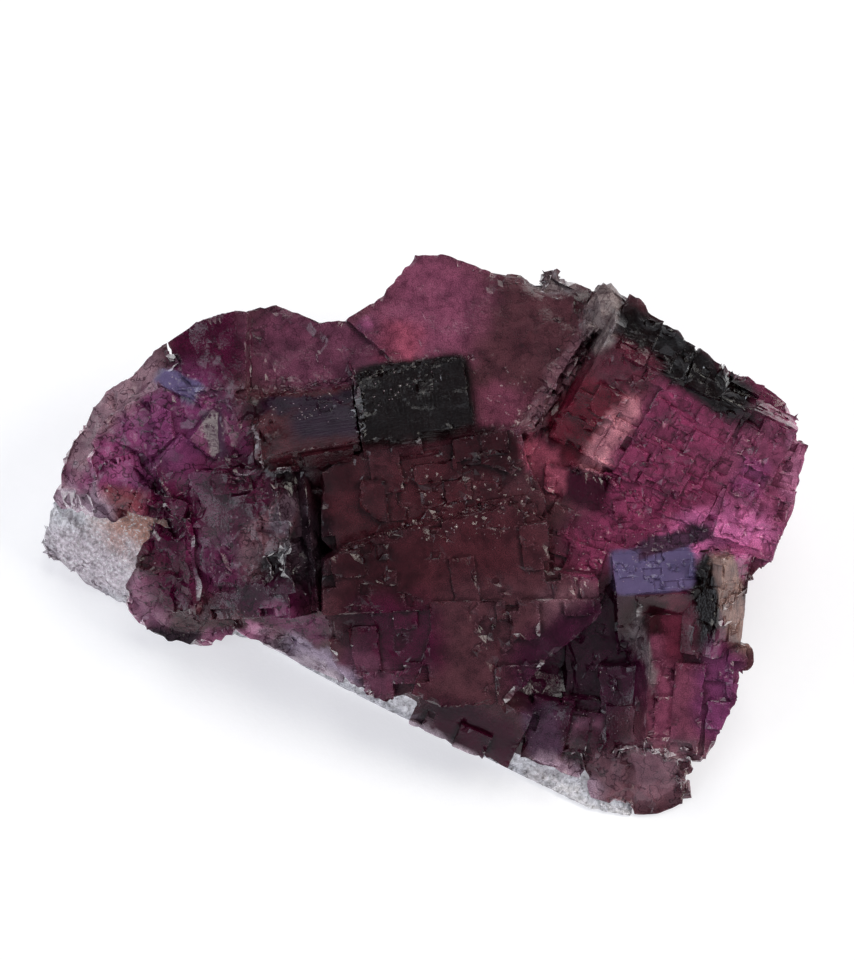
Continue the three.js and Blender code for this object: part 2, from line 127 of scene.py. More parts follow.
PURPLE_GROUND = "dusty brown"
PURPLE_ZONES = [
    ("olive back", (12.6, 23.8), (8.9, 8.9), 0, 0.5, "dusty brown"),
    # pink peak, pink flank and bright chip: partly own colour, partly painted light shining through the
    # thin crystal
    ("pink peak", (2.1, 28.0), (6.2, 6.5), -20, 0.45, "rosy pink"),
    ("pink flank", (-2.6, 23.2), (3.6, 2.1), 25, 0.5, "pink magenta"),
    ("bright chip", (-6.8, 25.6), (1.5, 0.8), 30, 0.5, "hot pink"),
    ("olive back right", (18.0, 25.6), (3.6, 4.8), 0, 0.5, "dusty brown"),
    ("red slope", (10.2, 14.3), (3.6, 3.6), 0, 0.5, "dusty pink"),
    ("olive left top", (-12.4, 22.6), (8.9, 5.0), -8, 0.35, "brown pink"),
    ("purple left top", (-24.9, 23.2), (4.5, 5.0), 20, 0.35, "mulberry"),
    ("purple left", (-29.6, 11.3), (8.9, 7.4), 30, 0.35, "bright plum"),
    ("purple left rim", (-38.0, 8.3), (4.5, 3.6), 40, 0.4, "violet pink"),
    ("orange flank", (-34.3, 4.2), (3.8, 1.7), -10, 0.45, "terracotta"),
    ("pale slope", (-36.0, 18.5), (3.6, 6.2), -45, 0.3, "rose beige"),
    ("pale slope low", (-39.8, 11.3), (1.9, 3.6), -30, 0.4, "rose beige"),
    ("pale edge", (-40.6, 4.4), (4.2, 2.2), -22, 0.4, "pale mauve"),
    ("purple under left", (-28.1, 2.4), (4.3, 5.4), 0, 0.4, "crimson wine"),
    ("dark under purple", (-21.3, 8.3), (5.4, 4.2), 30, 0.45, "violet purple"),
    # silvery patches: painted reflection of the room over the crystal's colour
    ("silvery patch left", (-28.0, 18.6), (3.0, 1.1), -27, 0.16, "steel violet"),
    ("silvery patch right", (-23.6, 12.6), (1.2, 3.1), 14, 0.16, "dusky violet"),
    # dark cube: partly own colour, partly painted shade on the cube's shadowed side
    ("dark cube", (-13.6, 2.1), (4.8, 8.6), 0, 0.25, "black plum"),
    # cube slot: painted light that lifts the shade in the slot
    ("cube slot", (-12.5, 2.1), (1.5, 8.1), -5, 0.25, "grey plum"),
    ("dark cube left", (-21.3, 4.8), (4.0, 4.8), -30, 0.4, "mulberry"),
    # grey cube face and chip: painted reflection, grey over the dark cube
    ("grey cube face", (-18.1, 0.0), (1.8, 5.2), -38, 0.3, "rosy grey"),
    ("grey cube chip", (-15.4, 3.0), (1.1, 2.4), -25, 0.16, "cool grey"),
    ("purple cube flank", (-23.7, -2.6), (3.6, 3.3), 0, 0.4, "violet purple"),
    ("grey cube foot", (-17.7, -6.9), (5.4, 2.1), -5, 0.4, "dark purple"),
    ("front left lobe", (-32.6, -8.6), (2.9, 4.0), -20, 0.35, "rose"),
    ("dark lobe", (-29.0, -6.2), (3.3, 2.4), 0, 0.4, "crimson wine"),
    ("grey lobe foot", (-29.0, -11.9), (3.1, 1.2), -8, 0.3, "grey plum"),
    ("pink lip", (-21.9, -11.9), (4.0, 1.1), 8, 0.4, "petal"),
    ("magenta lip", (-14.2, -10.0), (4.0, 1.7), -22, 0.35, "plum"),
    ("cube face left", (-12.6, 13.3), (6.7, 4.5), 9, 0.1, "brown red"),
    ("frosted ledge", (-10.0, 17.0), (9.5, 0.8), 11, 0.35, "ink violet"),
    # blue cube face: painted reflection of bluish light
    ("blue cube face", (-10.2, 14.0), (4.3, 2.4), 5, 0.3, "ink violet"),
    ("red under blue", (-8.8, 7.1), (4.0, 4.0), 0, 0.5, "dark brown"),
    ("dark striated cube", (0.1, 16.4), (7.0, 5.1), 7, 0.08, "near black"),
    ("brown centre top", (2.5, 7.1), (7.1, 4.0), 8, 0.45, "brown red"),
    ("dark centre patch", (9.0, 10.5), (4.3, 2.9), 0, 0.25, "dark brown"),
    ("brown centre", (4.3, -2.4), (11.3, 7.1), 10, 0.5, "brown red"),
    ("dark centre left", (-4.6, -4.2), (4.3, 6.0), 0, 0.45, "dark brown"),
    ("red centre window", (-6.4, 4.2), (2.6, 2.9), 0, 0.5, "brown red"),
    ("violet centre face", (10.8, -11.9), (8.9, 7.4), 0, 0.35, "dusty brown"),
    ("violet face right", (18.6, -7.9), (4.0, 3.1), 20, 0.3, "rosy grey"),
    ("purple front", (-2.3, -11.9), (5.4, 5.2), 0, 0.4, "mulberry"),
    ("pink front", (-5.2, -15.7), (4.0, 2.4), -25, 0.4, "brown pink"),
    ("dark front", (7.3, -22.9), (7.1, 2.9), -25, 0.3, "deep wine"),
    ("magenta slab", (32.9, 8.3), (13.1, 11.3), 0, 0.3, "magenta"),
    ("red slab inside", (20.0, 14.3), (4.0, 5.7), -30, 0.25, "raspberry"),
    ("slab wedge", (15.6, 8.9), (1.9, 4.0), 35, 0.25, "pink magenta"),
    # glow: painted glow of light shining through the slab
    ("glow", (23.3, 12.4), (5.4, 1.3), 59, 0.35, "peach"),
    ("slab dark hollow", (20.6, 6.0), (2.7, 2.1), -15, 0.16, "deep wine"),
    ("slab right", (41.8, 8.3), (5.4, 8.3), 0, 0.4, "dull magenta"),
    ("slab rim", (45.1, 9.3), (1.4, 6.2), 0, 0.4, "lilac rose"),
    ("slab dark square", (39.8, 7.4), (1.8, 2.1), -20, 0.15, "violet pink"),
    ("slab low", (36.4, 0.0), (6.0, 3.3), 15, 0.5, "hot pink"),
    ("slab front", (23.3, -0.6), (5.5, 4.0), 10, 0.4, "magenta"),
    ("olive ridge", (31.7, 20.8), (11.3, 2.9), -37, 0.25, "near black"),
    ("red under ridge", (25.1, 19.6), (3.6, 3.1), -20, 0.4, "wine red"),
    # silver ridge: partly frost, partly painted reflection
    ("silver ridge", (22.1, 26.4), (1.8, 4.0), -12, 0.22, "bright silver"),
    # silver ridge foot: painted light that lifts the shade in the slot beside the ridge
    ("silver ridge foot", (16.5, 18.3), (1.4, 6.5), -32, 0.3, "rosy grey"),
    ("silver chip", (16.5, 30.6), (3.1, 1.5), -10, 0.2, "warm silver"),
    # dark recess: partly own colour, partly painted shade in the recess
    ("dark recess", (20.4, -14.9), (9.3, 7.4), 32, 0.22, "dark purple"),
    ("magenta column", (32.9, -17.9), (5.5, 10.7), 0, 0.25, "dusty pink"),
    # blue top: painted reflection of bluish light on the column's top face
    ("blue top", (28.3, -3.5), (4.9, 2.7), 4, 0.09, "steel violet"),
    ("blue top corner", (32.6, -7.1), (1.4, 1.7), 0, 0.2, "dark purple"),
    ("dark top strip", (30.7, -0.1), (4.5, 1.0), 16, 0.16, "dusky violet"),
    ("column shade", (28.7, -9.3), (5.0, 2.1), 0, 0.2, "dark brown"),
    ("column dark band", (34.5, -7.1), (1.8, 6.2), -6, 0.2, "near black"),
    ("column window", (31.2, -10.5), (1.8, 4.3), 0, 0.3, "wine red"),
    ("striated beige", (37.5, -7.1), (1.5, 6.0), 14, 0.15, "beige"),
    ("column right", (36.0, -17.9), (2.6, 5.5), 0, 0.4, "bright plum"),
    # grey edge: painted reflection on the column's left side
    ("grey edge", (27.1, -13.1), (0.8, 4.3), 14, 0.3, "warm silver"),
    # grey facet: painted reflection on a small facet in the recess
    ("grey facet", (15.4, -22.9), (2.1, 3.3), 12, 0.15, "dusky violet"),
    ("small pink cube", (20.7, -23.2), (2.0, 1.9), 0, 0.2, "rose"),
    # red recess foot: partly own colour, partly painted shade at the foot of the recess
    ("red recess foot", (22.1, -25.0), (3.6, 3.6), 0, 0.4, "deep wine"),
    ("pink lobe", (28.1, -28.0), (7.4, 3.6), 10, 0.35, "rosy grey"),
    ("pale lobe", (18.0, -28.6), (4.8, 1.8), -25, 0.3, "pale mauve"),
    ("grey strip", (-11.2, -14.3), (5.2, 1.0), -31, 0.35, "mauve lilac"),
    ("pale foot", (-10.0, -17.9), (9.5, 1.5), -34, 0.4, "pale blush"),
    ("pale foot low", (3.1, -24.8), (7.1, 1.2), -32, 0.4, "pale blush"),
]

BASE_GROUND = "white"
BASE_ZONES = [
    ("orange stain", (-33.8, 1.6), (4.4, 3.4), -15, 0.5, "tan"),
    ("white left", (-39.8, -3.0), (7.1, 3.6), -20, 0.5, "pale blush"),
    ("pale strip", (-10.0, -15.2), (7.1, 1.4), -32, 0.5, "white"),
    ("pale strip low", (6.7, -26.2), (10.7, 1.9), -30, 0.5, "white"),
]

# Growth steps: how many lie on a square mm, how long and how high they are, in mm. The first zone counts.
STEP_ZONES = [
    ("slab mosaic", (37, 7), (13, 14), 0, 0.2, (0.36, (0.9, 2.7), (0.05, 0.18))),
    ("slab inner", (24, 12), (5, 7), -30, 0.2, (0.10, (0.8, 2.4), (0.04, 0.15))),
    ("slab front", (22, -1), (6, 4), 10, 0.2, (0.22, (0.7, 1.8), (0.05, 0.16))),
    ("olive ridge", (32, 21), (11, 3), -37, 0.2, (0.16, (0.8, 2.4), (0.10, 0.40))),
    ("striated cube", (0.5, 17), (7, 5), 6, 0.2, (0.05, (0.4, 2.6), (0.02, 0.07))),
    ("centre ledges", (9, 5), (9, 4), 8, 0.2, (0.24, (0.3, 1.3), (0.03, 0.10))),
    ("centre", (5, -6), (13, 11), 0, 0.2, (0.05, (0.4, 1.8), (0.02, 0.06))),
    ("column", (33, -16), (6, 12), 0, 0.2, (0.10, (0.8, 3.2), (0.05, 0.25))),
    ("recess", (20, -15), (8, 8), 30, 0.2, (0.10, (0.5, 1.8), (0.05, 0.20))),
    ("pink back", (4, 25), (14, 9), 0, 0.2, (0.008, (0.3, 1.0), (0.02, 0.05))),
    ("dark cube", (-14, 2), (7, 10), -10, 0.2, (0.01, (0.4, 1.2), (0.03, 0.08))),
]
PLAIN_STEPS = (0.02, (0.5, 1.8), (0.02, 0.07))

# How far the stone is broken rather than bounded by crystal faces.
FRACTURE_ZONES = [
    ("pink back", (7, 22), (15, 11), 0, 0.3, 0.2),
    ("olive left", (-13, 22), (9, 6), -8, 0.3, 0.35),
    ("left mass", (-34, 6), (15, 17), -20, 0.25, 1.0),
    ("left cube", (-19, -1), (9, 9.5), -6, 0.2, 0.9),
    ("front left", (-25, -10), (14, 5), 0, 0.3, 1.0),
    ("front lobe", (26, -29), (10, 5), 0, 0.3, 0.8),
    ("recess", (19, -16), (7, 6), 30, 0.4, 0.35),
    ("silver ridge", (22, 27), (3, 4), -20, 0.3, 0.6),
    ("slab ridge", (33, 22), (13, 4), -37, 0.3, 0.5),
    ("purple left top", (-24.4, 22.4), (4.6, 4.6), 10, 0.3, 0.35),
    ("silvery patch left", (-28.0, 18.6), (3.0, 1.2), -27, 0.3, 0.2),
    ("silvery patch right", (-23.6, 12.6), (1.4, 3.2), 14, 0.3, 0.35),
    ("cube left end", (-18.8, 12.0), (1.6, 4.5), 6, 0.3, 0.8),
    ("silver crest", (17.2, 19.0), (2.0, 8.0), -32, 0.3, 0.8),
    ("silver chip", (16.3, 31.3), (2.6, 2.0), -10, 0.3, 0.9),
]

# Boxes of the crust, middle and half widths in mm, where the mesh is finest.
FINE_BOXES = [((-26, 16), (6, 7)), ((29.5, -4), (9, 6)), ((-6, 15.5), (14, 7)), ((22, 27), (5, 6))]

# Broken ledges that stand on the crust: path in mm, size range, how high they stand, how deep they root.
LEDGES = [
    ("silver crest", [(21.4, 25.4), (19.0, 21.2), (16.4, 16.8), (13.8, 12.6)], (0.6, 1.7), (0.2, 1.3), 1.5),
    ("centre", [(-8.2, -1), (-3.5, 0.8), (1.9, 2.5), (6.7, 3.5), (10.8, 4.2)], (0.3, 0.8), (0, 0.1), 0.5),
    ("slab ledge", [(18.6, 8.9), (22.1, 7.6), (25.5, 5.6), (28.1, 4.1)], (0.3, 0.8), (0.05, 0.25), 0.5),
    ("cube top edge", [(-18.1, 17.1), (-10.0, 18.8), (-1.7, 20.1), (7.0, 21.9)], (0.3, 0.7), (0, 0.1), 0.4),
    ("cube joint", [(-6.1, 17.7), (-6.1, 11.9)], (0.3, 0.6), (0, 0.1), 0.4),
    ("lobe edge", [(32.3, -26.4), (31.8, -30.2)], (1.6, 2.6), (-0.4, 0), 2.5),
    ("silver chip", [(14.9, 31.5), (17.8, 30.9)], (0.9, 1.7), (-0.4, 0), 1.2),
]

# Where the colour is cracked like a mosaic, striated, calm and sparkling, and how much.
TEXTURE_ZONES = {
    "mosaic": [
        ("left cube", (-21, 2), (6, 6), -30, 0.4, 0.6),
        ("beige side", (37.5, -7), (2, 6), 14, 0.3, 1.0),
        ("slab", (35, 7), (15, 14), 0, 0.3, 1.0),
        ("slab front", (24, -1), (7, 5), 10, 0.4, 0.8),
        ("column", (33, -16), (6, 12), 0, 0.3, 0.35),
        ("ridge", (31, 20), (11, 3), -37, 0.3, 0.5),
    ],
    "striae": [
        ("striated cube", (0.5, 17), (7, 5), 6, 0.2, 1.0),
        ("blue face", (-10, 14), (4.5, 3), 5, 0.3, 0.5),
        ("beige side", (37.5, -7), (2, 6), 14, 0.3, 1.0),
        ("silver ridge", (20, 23), (3, 8), -25, 0.3, 0.6),
    ],
    "calm": [
        ("blue top", (28.3, -3.5), (4.9, 2.7), 4, 0.16, 1.0),
        ("silvery patch left", (-28.0, 18.6), (3.0, 1.1), -27, 0.16, 0.7),
        ("silvery patch right", (-23.6, 12.6), (1.2, 3.1), 14, 0.16, 0.7),
        ("blue cube face", (-10.2, 14.0), (4.3, 2.4), 5, 0.3, 0.6),
        ("dark striated cube", (0.1, 16.4), (7.0, 5.1), 7, 0.16, 0.5),
        ("column dark band", (34.5, -7.1), (1.8, 6.2), -6, 0.2, 0.7),
    ],
    "spark": [
        ("centre ledge", (7, 5.5), (8, 5), 10, 0.5, 1.0),
        ("cube end", (12, 15), (3, 5), 0, 0.4, 0.8),
        ("slab front", (24, -1), (8, 6), 20, 0.5, 0.9),
        ("glow", (24, 12), (4, 3), 30, 0.5, 0.8),
        ("grey face", (-18, -1), (5, 7), -38, 0.4, 0.8),
        ("orange", (-36, 1), (9, 5), -15, 0.5, 1.0),
        ("front lip", (-20, -11), (10, 3), 0, 0.5, 0.6),
        ("recess", (20, -20), (7, 5), 0, 0.5, 0.7),
        ("frosted ledge", (-9, 17), (10, 2), 13, 0.4, 1.0),
        ("silvery left", (-27.9, 18.8), (2.6, 1.4), -35, 0.3, 1.0),
        ("silvery right", (-23.8, 12.9), (1.8, 3.3), 25, 0.3, 1.0),
    ],
}

WANDER_REACH = 3  # how many mm a zone's edge strays, about, times how soft it is
CRISP = 0.16  # a zone whose edge is no softer than this has square corners
ROUND_CORNERS, SQUARE_CORNERS = 3, 9  # powers of a superellipse


def zone_share(points, zone, wander):
    """How far each crust point lies inside a zone, from 0 outside to 1 inside."""
    _, middle, half, turn, softness = zone[:5]
    c, s = math.cos(math.radians(turn)), math.sin(math.radians(turn))
    x = points[:, 0] + wander[:, 0] * softness * WANDER_REACH - middle[0]
    y = points[:, 1] + wander[:, 1] * softness * WANDER_REACH - middle[1]
    u = np.abs(x * c + y * s) / half[0]
    v = np.abs(y * c - x * s) / half[1]
    power = ROUND_CORNERS if softness > CRISP else SQUARE_CORNERS
    away = (u**power + v**power) ** (1 / power)
    t = np.clip((away - 1 + softness) / (2 * softness), 0, 1)
    return 1 - t * t * (3 - 2 * t)


def painted(points, wander, ground, zones):
    """The colour or amount at each crust point: the ground, then each zone over it."""
    value = np.zeros((len(points), len(ground))) + np.array(ground)
    for zone in zones:
        share = zone_share(points, zone, wander)[:, None]
        value += share * (np.atleast_1d(np.array(zone[5])) - value)
    return value


def fracture_share(p, normal):
    """How broken the stone is at a crust point: 0 on crystal faces, 1 on fractured ones and underneath."""
    share = 0.0
    for _, middle, half, turn, softness, amount in FRACTURE_ZONES:
        c, s = math.cos(math.radians(turn)), math.sin(math.radians(turn))
        x, y = p.x - middle[0], p.y - middle[1]
        u, v = abs(x * c + y * s) / half[0], abs(y * c - x * s) / half[1]
        if u < 1.4 and v < 1.4:  # past this the zone's edge has faded out
            inside = 1 - smoothstep(1 - softness, 1 + softness, (u**3 + v**3) ** (1 / 3))
            share += inside * (amount - share)
    return max(share, 1 - smoothstep(-0.1, 0.3, normal.dot(OUTWARD)))


# ---------------------------------------------------------------- flat faces of a mesh

PLANE_TURN = math.radians(0.6)  # how far two faces of one plane may be turned from each other
PLANE_GAP = 0.02 * MM  # and how far one may lie off the other
SAME_POINT = 1e-7  # in metres: points of the CAD mesh closer than this are one


def clean_copy(node, name):
    """The CAD node's mesh, welded, as a new object."""
    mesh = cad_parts[node].data.copy()
    mesh.name = name
    mesh.materials.clear()
    work = bmesh.new()
    work.from_mesh(mesh)
    bmesh.ops.remove_doubles(work, verts=work.verts, dist=SAME_POINT)
    work.to_mesh(mesh)
    work.free()
    for layer in list(mesh.uv_layers):
        mesh.uv_layers.remove(layer)
    mesh.attributes.active = None
    piece = bpy.data.objects.new(name, mesh)
    bpy.context.scene.collection.objects.link(piece)
    return piece


def flat_groups(work):
    """Groups of faces that lie in one plane and touch."""
    work.faces.ensure_lookup_table()
    limit = math.cos(PLANE_TURN)
    seen = set()
    groups = []
    for face in work.faces:
        if face.index in seen:
            continue
        seen.add(face.index)
        group = [face]
        stack = [face]
        while stack:
            for other in [f for edge in stack.pop().edges for f in edge.link_faces]:
                if other.index in seen or other.normal.dot(face.normal) < limit:
                    continue
                gap = (other.calc_center_median() - face.calc_center_median()).dot(face.normal)
                if abs(gap) > PLANE_GAP:
                    continue
                seen.add(other.index)
                group.append(other)
                stack.append(other)
        groups.append(group)
    return groups


def long_direction(group):
    """The direction along a group's longest straight outline edge."""
    members = set(group)
    best, length = None, 0
    for face in group:
        for edge in face.edges:
            if all(f in members for f in edge.link_faces):
                continue
            if edge.calc_length() > length:
                length = edge.calc_length()
                best = edge.verts[1].co - edge.verts[0].co
    if best is None:
        best = group[0].edges[0].verts[1].co - group[0].edges[0].verts[0].co
    return best.normalized()


def pick_point(group, areas, dice):
    """A random point of a group, spread evenly over its area."""
    face = dice.choices(group, weights=areas)[0]
    a, b, c = (v.co for v in face.verts[:3])
    u, v = sorted((dice.random(), dice.random()))
    return a * u + b * (v - u) + c * (1 - v)


def holds(group, point):
    """Whether a point of a group's plane lies in one of its triangles."""
    for face in group:
        a, b, c = (v.co for v in face.verts[:3])
        n = face.normal
        if all((q - p).cross(point - p).dot(n) >= 0 for p, q in ((a, b), (b, c), (c, a))):
            return True
    return False


# ---------------------------------------------------------------- growth steps and ledges

Step = namedtuple("Step", "centre along across normal length width height root raised")

LEAST_FACE = 4  # a face under this many square mm carries no growth steps
STEP_ROOT = 0.5 * MM  # how far a step's box reaches past its face, into or out of the stone
STEP_TURN = math.radians(3)  # how far a step strays from the run of its face's edge
STEP_WIDTHS = (0.4, 1.0)  # a step's width as a share of its length
RAISED_SHARE = 0.55  # of the steps that lie wholly on their face. The others are cut

LEDGE_SPACING = 0.42  # between the blocks of a ledge, as a share of their middle size
LEDGE_STRAY = 0.2  # how far a block strays from its path, as a share of the largest size
LEDGE_TILT = 0.16
LEDGE_TURN = 0.3  # in radians, as the tilt is
LEDGE_WIDTHS = (0.4, 0.9)  # a block's width as a share of its length
ABOVE_CRUST = 50 * MM  # a height that clears every crystal

SQUARE = ((-1, -1), (1, -1), (1, 1), (-1, 1))
BOX_FACES = ((3, 2, 1, 0), (4, 5, 6, 7), (0, 1, 5, 4), (1, 2, 6, 5), (2, 3, 7, 6), (3, 0, 4, 7))


def step_style(point):
    """Density, length range and height range of the growth steps at a crust point."""
    at = np.array([[point.x, point.y]])
    still = np.zeros((1, 2))
    for zone in STEP_ZONES:
        if zone_share(at, zone, still)[0] > 0.5:
            return zone[5]
    return PLAIN_STEPS


def plan_step(group, areas, normal, along, thickest, dice):
    """One growth step at a random place of a face, or None where the face carries none."""
    centre = pick_point(group, areas, dice)
    density, lengths, heights = step_style(TO_CRUST @ centre / MM)
    if dice.random() > density / thickest:
        return None
    u = Matrix.Rotation(dice.gauss(0, STEP_TURN), 3, normal) @ along
    v = normal.cross(u).normalized()
    length = dice.uniform(*lengths) * MM
    width = max(length * dice.uniform(*STEP_WIDTHS), lengths[0] * MM)
    if dice.random() < 0.5:
        length, width = width, length
    height = heights[0] + (heights[1] - heights[0]) * dice.random() ** 2
    corners = [centre + u * length * i / 2 + v * width * j / 2 for i in (-1, 1) for j in (-1, 1)]
    inside = sum(holds(group, corner) for corner in corners)
    if inside < 3:
        return None
    raised = inside == 4 and dice.random() < RAISED_SHARE
    return Step(centre, u, v, normal, length, width, height * MM, STEP_ROOT, raised)


def plan_steps(piece, dice):
    """Thin growth steps on the crystal faces, raised or cut."""
    work = bmesh.new()
    work.from_mesh(piece.data)
    bmesh.ops.triangulate(work, faces=work.faces)
    work.normal_update()
    steps = []
    thickest = max(zone[5][0] for zone in STEP_ZONES)
    for group in flat_groups(work):
        areas = [f.calc_area() for f in group]
        area = sum(areas) / MM**2
        normal = group[0].normal.copy()
        middle = TO_CRUST @ group[0].calc_center_median() / MM
        faces_down = normal.dot(OUTWARD) < -0.1
        if area < LEAST_FACE or faces_down or fracture_share(middle, normal) > 0.5:
            continue
        along = long_direction(group)
        for _ in range(int(area * thickest + dice.random())):
            step = plan_step(group, areas, normal, along, thickest, dice)
            if step is not None:
                steps.append(step)
    work.free()
    return steps


def ledge_block(place, run, sizes, lifts, root, dice):
    """One broken block that stands on the crust, turned more or less along the run of its ledge."""
    normal = (OUTWARD + Vector([dice.gauss(0, LEDGE_TILT) for _ in range(3)])).normalized()
    along = CRUST.to_3x3() @ Vector((*run.normalized(), 0))
    along = (along - normal * along.dot(normal)).normalized()
    along = Matrix.Rotation(dice.gauss(0, LEDGE_TURN), 3, normal) @ along
    across = normal.cross(along)
    length = dice.uniform(*sizes) * MM
    width = length * dice.uniform(*LEDGE_WIDTHS)
    height = dice.uniform(*lifts) * MM
    return Step(place, along, across, normal, length, width, height, root * MM, True)


def plan_ledges(piece, dice):
    """Small broken blocks along each ledge."""
    mesh = piece.data
    tree = BVHTree.FromPolygons([v.co for v in mesh.vertices], [p.vertices[:] for p in mesh.polygons])
    steps = []
    for _, path, sizes, lifts, root in LEDGES:
        spacing = 0.5 * (sizes[0] + sizes[1]) * LEDGE_SPACING
        for start, end in zip(path, path[1:]):
            start, end = Vector(start), Vector(end)
            count = int((end - start).length / spacing)
            for i in range(count):
                flat = start.lerp(end, (i + dice.random()) / count)
                flat += Vector((dice.gauss(0, LEDGE_STRAY), dice.gauss(0, LEDGE_STRAY))) * sizes[1]
                above = CRUST @ Vector((flat.x * MM, flat.y * MM, ABOVE_CRUST))
                hit = tree.ray_cast(above, -OUTWARD)[0]
                if hit is not None:
                    steps.append(ledge_block(hit, end - start, sizes, lifts, root, dice))
    return steps


def reach(step):
    """How far a step's box reaches from its middle."""
    return math.hypot(step.length, step.width) / 2 + step.root


def batches(steps):
    """Splits the steps into sets whose members don't touch, so that each set is one valid solid."""
    sets = []
    for step in steps:
        for members in sets:
            if members[0].raised != step.raised:
                continue
            if all((step.centre - m.centre).length > reach(step) + reach(m) for m in members):
                members.append(step)
                break
        else:
            sets.append([step])
    return sets


def step_boxes(members):
    """One mesh holding a box for each growth step."""
    points, faces = [], []
    for step in members:
        low, high = (-step.root, step.height) if step.raised else (-step.height, step.root)
        start = len(points)
        for w in (low, high):
            for u, v in SQUARE:
                offset = step.along * u * step.length + step.across * v * step.width
                points.append(step.centre + offset / 2 + step.normal * w)
        faces += [tuple(start + i for i in f) for f in BOX_FACES]
    mesh = bpy.data.meshes.new("steps")
    mesh.from_pydata(points, [], faces)
    return mesh


def apply_boolean(piece, mesh, operation):
    """Joins a mesh to a piece, or cuts it away, and removes it."""
    other = bpy.data.objects.new("steps", mesh)
    bpy.context.scene.collection.objects.link(other)
    modifier = piece.modifiers.new("steps", "BOOLEAN")
    modifier.operation = operation
    modifier.solver = "MANIFOLD"
    modifier.object = other
    result = bpy.data.meshes.new_from_object(piece.evaluated_get(bpy.context.evaluated_depsgraph_get()))
    piece.modifiers.clear()
    old = piece.data
    piece.data = result
    bpy.data.meshes.remove(old)
    bpy.data.objects.remove(other)
    bpy.data.meshes.remove(mesh)


def add_steps(piece, steps):
    """Builds the steps into a piece, set by set."""
    sets = batches(steps)
    print(len(steps), "steps in", len(sets), "sets")
    for members in sets:
        apply_boolean(piece, step_boxes(members), "UNION" if members[0].raised else "DIFFERENCE")


# ---------------------------------------------------------------- broken faces and nicked edges
# Lengths are in mm, except where a name or a comment says otherwise.

WELD = 2e-6  # in metres: points closer than this become one
SAME_FACE = math.radians(0.3)
REFINE_ROUNDS = 7

PLAIN_EDGE = 1.3  # the longest edge on a crystal face
BROKEN_CUT = 0.7  # how much shorter it is where the stone is fully broken
UNDER_EDGE = 1.1  # on faces turned down
FINE_EDGE = 0.6  # in the fine boxes and along bent edges
BENT = 0.5  # in radians, the least that counts as bent

GRAIN_STRIDE = 7.31  # from one face's grain to the next one's, so that no two look alike
GRAIN_SPAN = 50

BROAD_DEPTH = 2.1
SMALL_DEPTH = 0.5
BREAK_SINK = 0.4  # how far a broken face lies under the solid's before its relief is added
DEEPEST_BREAK = -0.9
HIGHEST_BREAK = 0.15
NICK_DEPTH = 0.55
STRAY_BROAD = 0.7  # how far a broken point strays across its face, in waves about 2 mm long
STRAY_FINE = 0.16  # and in waves about 0.6 mm long
RIGHT_ANGLE = math.pi / 2


def write_grain(work):
    """Keeps, at each face corner, where it lies along and across its own crystal face, in mm."""
    layer = work.loops.layers.float_vector.new("grain")
    for number, group in enumerate(flat_groups(work)):
        along = long_direction(group)
        normal = group[0].normal
        across = normal.cross(along)
        offset = (number * GRAIN_STRIDE) % GRAIN_SPAN
        for face in group:
            for loop in face.loops:
                p = loop.vert.co / MM
                loop[layer] = (p.dot(along) + offset, p.dot(across), offset)


def in_fine_box(p):
    return any(abs(p.x - at[0]) < half[0] and abs(p.y - at[1]) < half[1] for at, half in FINE_BOXES)


def edge_limit(edge):
    """The longest that an edge may stay, shorter where the stone is broken or has a sharp edge."""
    middle = TO_CRUST @ ((edge.verts[0].co + edge.verts[1].co) / 2) / MM
    normal = edge.link_faces[0].normal
    limit = PLAIN_EDGE - BROKEN_CUT * fracture_share(middle, normal)
    if normal.dot(OUTWARD) < -0.2:
        limit = UNDER_EDGE
    elif abs(edge.calc_face_angle(0)) > BENT or in_fine_box(middle):
        limit = FINE_EDGE
    return limit * MM


def refine(work):
    """Splits long edges until the mesh is fine enough to carry relief."""
    for _ in range(REFINE_ROUNDS):
        edges = [e for e in work.edges if e.calc_length() > edge_limit(e)]
        if not edges:
            break
        bmesh.ops.subdivide_edges(work, edges=edges, cuts=1)
        split = [f for f in work.faces if len(f.verts) > 3]
        bmesh.ops.triangulate(work, faces=split, quad_method="SHORT_EDGE", ngon_method="BEAUTY")


class Facets:
    """Noise flattened into planes: each Voronoi cell keeps the noise's height and slope at its middle."""

    PROBE = 0.05  # how far from the middle the slope is measured
    MOST = 0.45  # how far a plane may rise or fall from its middle

    def __init__(self, cell, wave):
        self.cell, self.wave, self.planes = cell, wave, {}

    def plane(self, point):
        """The noise's height at a point, and how it slopes there."""
        here = noise.noise(point / self.wave)
        ends = [point + Vector([self.PROBE * (i == k) for i in range(3)]) for k in range(3)]
        return here, Vector([(noise.noise(end / self.wave) - here) / self.PROBE for end in ends])

    def height(self, place):
        point = noise.voronoi(place / self.cell)[1][0] * self.cell
        key = tuple(round(v, 2) for v in point)
        if key not in self.planes:
            self.planes[key] = self.plane(point)
        here, slope = self.planes[key]
        return here + min(max(slope.dot(place - point), -self.MOST), self.MOST)


BROAD = Facets(4.6, 8.0)
SMALL = Facets(1.5, 2.6)


def join_faces(work):
    """Removes what the booleans left: doubled points, slivers and edges across flat faces."""
    bmesh.ops.remove_doubles(work, verts=work.verts, dist=WELD)
    bmesh.ops.dissolve_degenerate(work, edges=work.edges, dist=WELD)
    bmesh.ops.dissolve_limit(work, angle_limit=SAME_FACE, verts=work.verts, edges=work.edges)
    bmesh.ops.delete(work, geom=[e for e in work.edges if not e.link_faces], context="EDGES")
    bmesh.ops.triangulate(work, faces=work.faces)
    work.normal_update()


